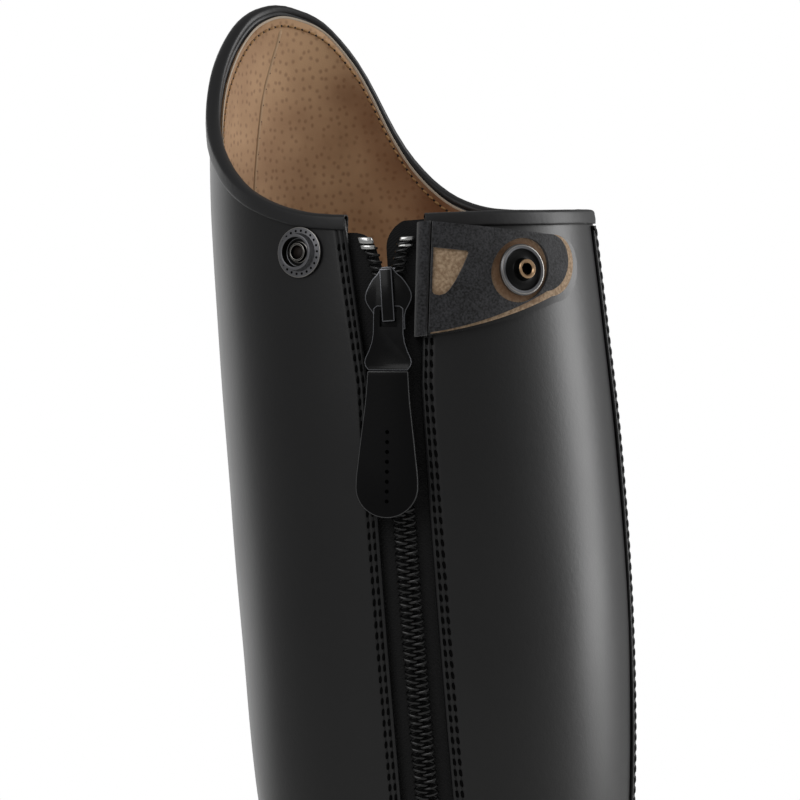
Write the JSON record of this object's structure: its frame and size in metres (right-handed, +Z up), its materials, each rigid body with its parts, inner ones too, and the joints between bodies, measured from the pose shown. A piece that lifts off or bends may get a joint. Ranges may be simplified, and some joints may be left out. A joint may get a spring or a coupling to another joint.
{
  "type": "dress riding boot",
  "caption": "Tall black leather dress riding boot for the left foot, with a rear zip, a raised outer collar and an open snap tab.",
  "frame": {"origin": "middle of the heel's bottom face, on the floor", "axes": "+Z up, +Y from the heel towards the toe, +X towards the inner side of the leg"},
  "size_m": [0.1216, 0.2943, 0.506],
  "materials": {
    "black_leather": "semi-gloss smooth calf",
    "tan_leather": "matte pigskin lining",
    "black_suede": "napped suede",
    "sole_rubber": "matte",
    "heel_leather": "edge-dressed stacked leather",
    "zip_tape": "woven tape",
    "zip_nylon": "nylon coil",
    "black_metal": "black nickel",
    "bright_metal": "bright nickel"
  },
  "bodies": {
    "boot": {"upper": "black_leather", "collar_binding": "black_leather", "outsole": "sole_rubber", "welt": "black_leather", "insole": "tan_leather", "heel_stack": "heel_leather", "heel_top_piece": "sole_rubber", "heel_counter": "black_leather", "spur_rest": "heel_leather", "side_seam_inner": "black_leather", "side_seam_outer": "black_leather", "zip_tape_outer": "zip_tape", "zip_tape_inner": "zip_tape", "zip_chain": "zip_nylon", "zip_coil_outer": "zip_nylon", "zip_coil_inner": "zip_nylon", "top_stop_outer": "bright_metal", "top_stop_inner": "bright_metal", "zip_end_patch": "black_leather", "zip_slider": "black_metal", "snap_socket": "black_metal", "closure_tab": "black_leather", "tab_lining": "tan_leather", "tab_facing": "black_suede", "tab_fold": "black_leather", "snap_stud": "black_metal"},
    "zip_pull": {"pull_tab": "black_metal", "pull_leather": "black_leather"}
  },
  "joints": [
    {"name": "pull_hinge", "type": "hinge", "parent": "boot", "child": "zip_pull", "pos_m": [0, -0.06034, 0.4128], "axis": [-1, 0, 0], "range_deg": [0, 125]}
  ]
}
